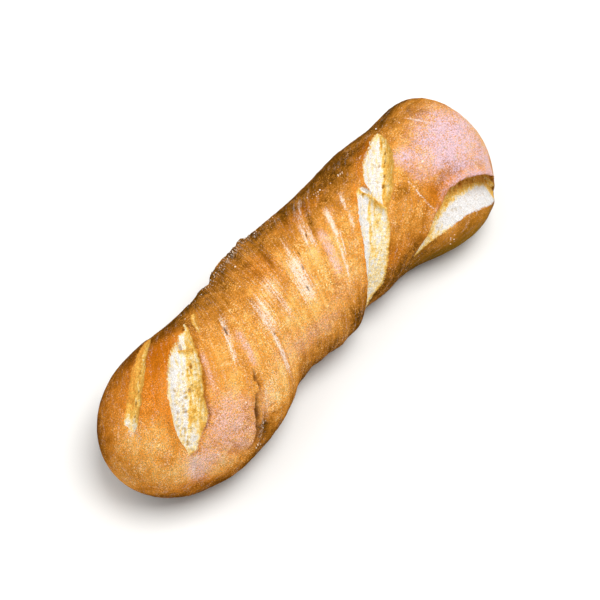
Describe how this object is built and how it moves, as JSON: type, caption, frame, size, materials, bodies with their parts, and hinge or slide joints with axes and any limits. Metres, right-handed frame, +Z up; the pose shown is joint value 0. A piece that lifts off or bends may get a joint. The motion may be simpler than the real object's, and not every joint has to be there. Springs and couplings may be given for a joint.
{
  "type": "twisted rustic loaf",
  "caption": "Long hand-twisted rustic loaf with a browned crust, torn open along its turns to show pale crumb, lying on a flattened base.",
  "frame": {"origin": "under the middle of the loaf's outline, at the level of its flattened base", "axes": "+Z up, +X along the loaf from its rounder bulb to its blunter end, +Y to its left"},
  "size_m": [0.33, 0.1068, 0.0751],
  "materials": {
    "crust": "matte baked crust, golden brown, with pale crumb in the tears and a dusting of flour"
  },
  "bodies": {
    "root": {"loaf": "crust"}
  },
  "joints": []
}
